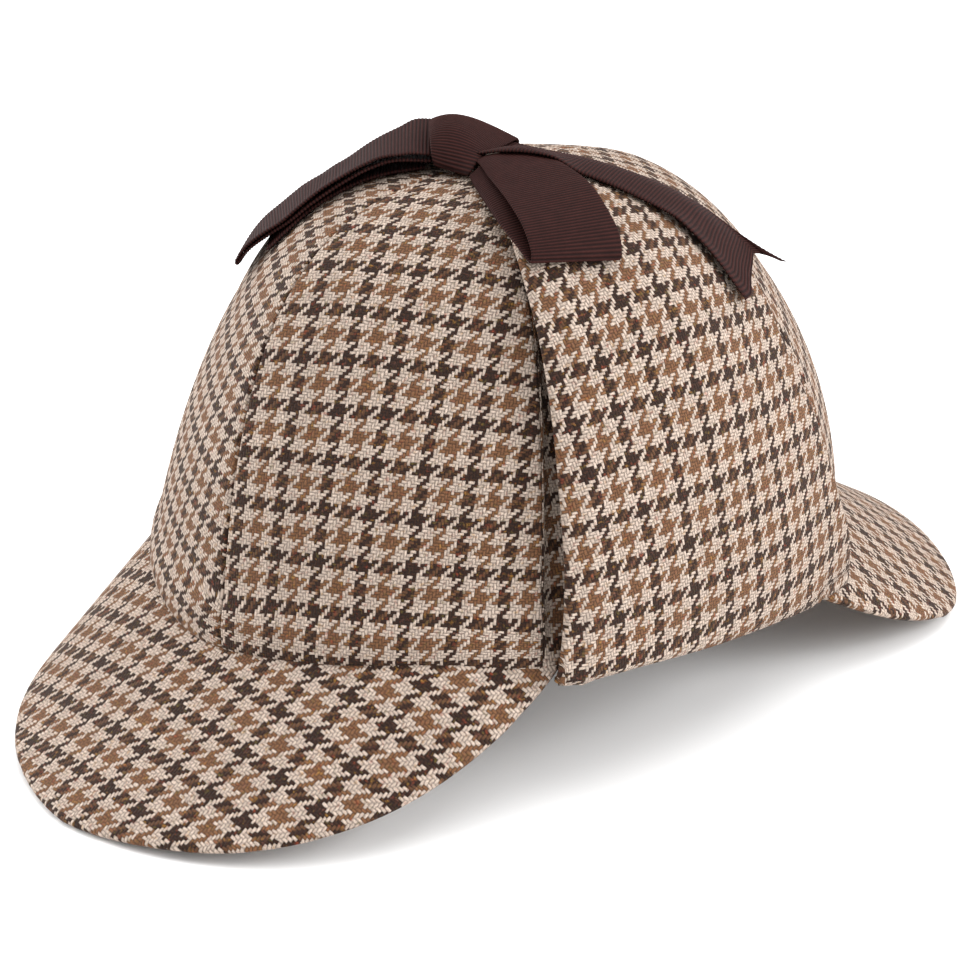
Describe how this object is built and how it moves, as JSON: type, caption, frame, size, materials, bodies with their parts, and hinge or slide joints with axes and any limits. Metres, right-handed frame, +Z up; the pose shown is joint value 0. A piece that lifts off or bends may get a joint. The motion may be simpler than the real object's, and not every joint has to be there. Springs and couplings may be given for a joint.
{
  "type": "deerstalker hat",
  "caption": "Wool tweed deerstalker hat with a panelled crown, front and back peaks, and ear flaps turned up and tied over the crown by a ribbon bow.",
  "frame": {"origin": "middle of the hat's footprint, on the surface that it rests on", "axes": "+Z up; the front peak points to -Y and the back peak to +Y; +X is the wearer's left"},
  "size_m": [0.1768, 0.3102, 0.155],
  "materials": {
    "tweed_check": "woollen tweed in a brown, tan and cream check",
    "grosgrain_ribbon": "dark brown cross-ribbed ribbon with a soft sheen"
  },
  "bodies": {
    "root": {"crown_panel_front_left": "tweed_check", "crown_panel_left": "tweed_check", "crown_panel_back_left": "tweed_check", "crown_panel_back_right": "tweed_check", "crown_panel_right": "tweed_check", "crown_panel_front_right": "tweed_check", "front_peak": "tweed_check", "back_peak": "tweed_check", "ear_flap_left": "tweed_check", "ear_flap_right": "tweed_check", "bow_knot": "grosgrain_ribbon", "bow_loop_left": "grosgrain_ribbon", "bow_loop_right": "grosgrain_ribbon", "bow_tail_back": "grosgrain_ribbon", "bow_tail_front": "grosgrain_ribbon"}
  },
  "joints": []
}
